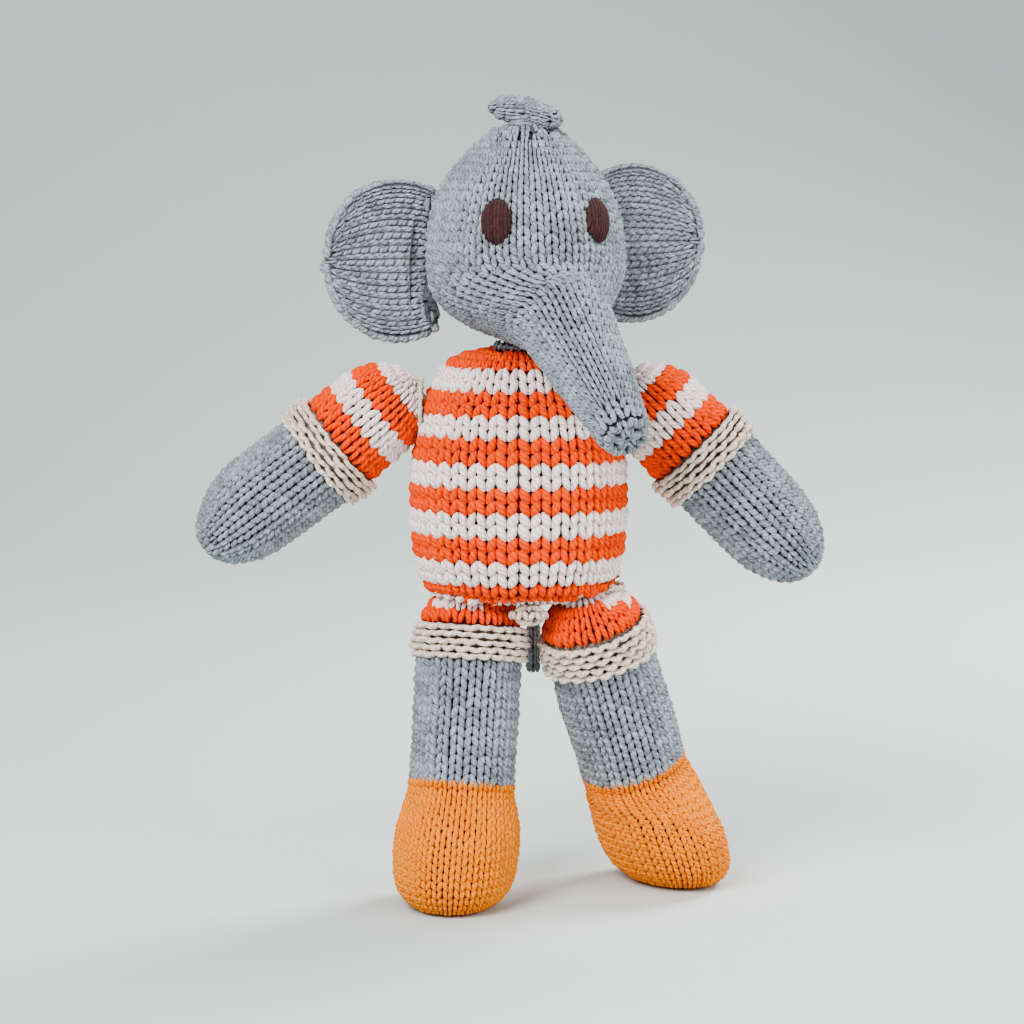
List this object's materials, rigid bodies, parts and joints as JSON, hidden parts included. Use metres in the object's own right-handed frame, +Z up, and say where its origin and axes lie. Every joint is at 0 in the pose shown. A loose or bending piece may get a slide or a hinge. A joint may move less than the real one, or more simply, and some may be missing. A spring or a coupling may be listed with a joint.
{
  "type": "stuffed toy elephant",
  "caption": "Hand-knitted stuffed elephant standing on two legs, with a striped sweater, cream cuffs, cupped ears, a long trunk and knitted shoes.",
  "frame": {"origin": "on the floor under the middle of the toy's bounding box", "axes": "+Z up, -Y towards the toy's front, +X towards the toy's own left"},
  "size_m": [0.2322, 0.1198, 0.2936],
  "materials": {
    "grey_yarn": "matte",
    "striped_yarn": "matte",
    "cream_yarn": "matte",
    "shoe_yarn": "matte",
    "eye_thread": "matte",
    "fibre_fill": "matte"
  },
  "bodies": {
    "torso": {"torso_cover": "striped_yarn", "torso_stuffing": "fibre_fill"},
    "neck": {"neck_seam": "grey_yarn"},
    "head": {"head_cover": "grey_yarn", "head_stuffing": "fibre_fill", "right_eye": "eye_thread", "left_eye": "eye_thread", "crown_tie": "grey_yarn", "topknot": "grey_yarn", "right_ear_seam": "grey_yarn", "left_ear_seam": "grey_yarn"},
    "trunk": {"trunk_cover": "grey_yarn", "trunk_stuffing": "fibre_fill"},
    "right_ear": {"right_ear_cover": "grey_yarn", "right_ear_padding": "fibre_fill"},
    "left_ear": {"left_ear_cover": "grey_yarn", "left_ear_padding": "fibre_fill"},
    "right_shoulder": {"right_shoulder_seam": "cream_yarn"},
    "right_arm": {"right_sleeve": "striped_yarn", "right_arm_cuff": "cream_yarn", "right_hand": "grey_yarn", "right_arm_stuffing": "fibre_fill"},
    "left_shoulder": {"left_shoulder_seam": "cream_yarn"},
    "left_arm": {"left_sleeve": "striped_yarn", "left_arm_cuff": "cream_yarn", "left_hand": "grey_yarn", "left_arm_stuffing": "fibre_fill"},
    "right_hip": {"right_hip_seam": "cream_yarn"},
    "right_leg": {"right_thigh": "striped_yarn", "right_leg_cuff": "cream_yarn", "right_shin": "grey_yarn", "right_leg_stuffing": "fibre_fill", "right_shoe": "shoe_yarn", "right_shoe_stuffing": "fibre_fill"},
    "left_hip": {"left_hip_seam": "cream_yarn"},
    "left_leg": {"left_thigh": "striped_yarn", "left_leg_cuff": "cream_yarn", "left_shin": "grey_yarn", "left_leg_stuffing": "fibre_fill", "left_shoe": "shoe_yarn", "left_shoe_stuffing": "fibre_fill"},
    "tail": {"tail": "grey_yarn"}
  },
  "joints": [
    {"name": "neck_turn", "type": "hinge", "parent": "torso", "child": "neck", "pos_m": [0.00555, 0.01615, 0.2006], "axis": [0, 0, 1], "range_deg": [-40, 25], "stiffness_Nm_per_rad": 0.15},
    {"name": "head_nod", "type": "hinge", "parent": "neck", "child": "head", "pos_m": [0.00555, 0.01615, 0.2006], "axis": [0.9659, 0.2588, 0], "range_deg": [-14, 7], "stiffness_Nm_per_rad": 0.3},
    {"name": "trunk_curl", "type": "hinge", "parent": "head", "child": "trunk", "pos_m": [0.01563, -0.00452, 0.2195], "axis": [0.8988, 0.4384, 0], "range_deg": [-25, 5], "stiffness_Nm_per_rad": 0.06},
    {"name": "right_ear_fold", "type": "hinge", "parent": "head", "child": "right_ear", "pos_m": [-0.03415, 0.02102, 0.235], "axis": [0, 0, 1], "range_deg": [-20, 30], "stiffness_Nm_per_rad": 0.02},
    {"name": "left_ear_fold", "type": "hinge", "parent": "head", "child": "left_ear", "pos_m": [0.0375, 0.04022, 0.235], "axis": [0, 0, -1], "range_deg": [-20, 30], "stiffness_Nm_per_rad": 0.02},
    {"name": "right_arm_swing", "type": "hinge", "parent": "torso", "child": "right_shoulder", "pos_m": [-0.04695, 0.01615, 0.1795], "axis": [-1, 0, 0], "range_deg": [-50, 110], "stiffness_Nm_per_rad": 0.06},
    {"name": "right_arm_raise", "type": "hinge", "parent": "right_shoulder", "child": "right_arm", "pos_m": [-0.04695, 0.01615, 0.1795], "axis": [0, 1, 0], "range_deg": [-24, 46], "stiffness_Nm_per_rad": 0.06},
    {"name": "left_arm_swing", "type": "hinge", "parent": "torso", "child": "left_shoulder", "pos_m": [0.05305, 0.01615, 0.1795], "axis": [-1, 0, 0], "range_deg": [-50, 110], "stiffness_Nm_per_rad": 0.06},
    {"name": "left_arm_raise", "type": "hinge", "parent": "left_shoulder", "child": "left_arm", "pos_m": [0.05305, 0.01615, 0.1795], "axis": [0, -1, 0], "range_deg": [-17, 52], "stiffness_Nm_per_rad": 0.06},
    {"name": "right_leg_spread", "type": "hinge", "parent": "torso", "child": "right_hip", "pos_m": [-0.01445, 0.01615, 0.097], "axis": [0, 1, 0], "range_deg": [-3, 20], "stiffness_Nm_per_rad": 0.8},
    {"name": "right_leg_swing", "type": "hinge", "parent": "right_hip", "child": "right_leg", "pos_m": [-0.01445, 0.01615, 0.097], "axis": [-1, 0, 0], "range_deg": [-35, 50], "stiffness_Nm_per_rad": 0.8},
    {"name": "left_leg_spread", "type": "hinge", "parent": "torso", "child": "left_hip", "pos_m": [0.03105, 0.01615, 0.097], "axis": [0, -1, 0], "range_deg": [-8, 12], "stiffness_Nm_per_rad": 0.8},
    {"name": "left_leg_swing", "type": "hinge", "parent": "left_hip", "child": "left_leg", "pos_m": [0.03105, 0.01615, 0.097], "axis": [-1, 0, 0], "range_deg": [-20, 72], "stiffness_Nm_per_rad": 0.8},
    {"name": "tail_swing", "type": "hinge", "parent": "torso", "child": "tail", "pos_m": [0.00865, 0.04635, 0.118], "axis": [1, 0, 0], "range_deg": [-5, 60], "stiffness_Nm_per_rad": 0.004}
  ]
}
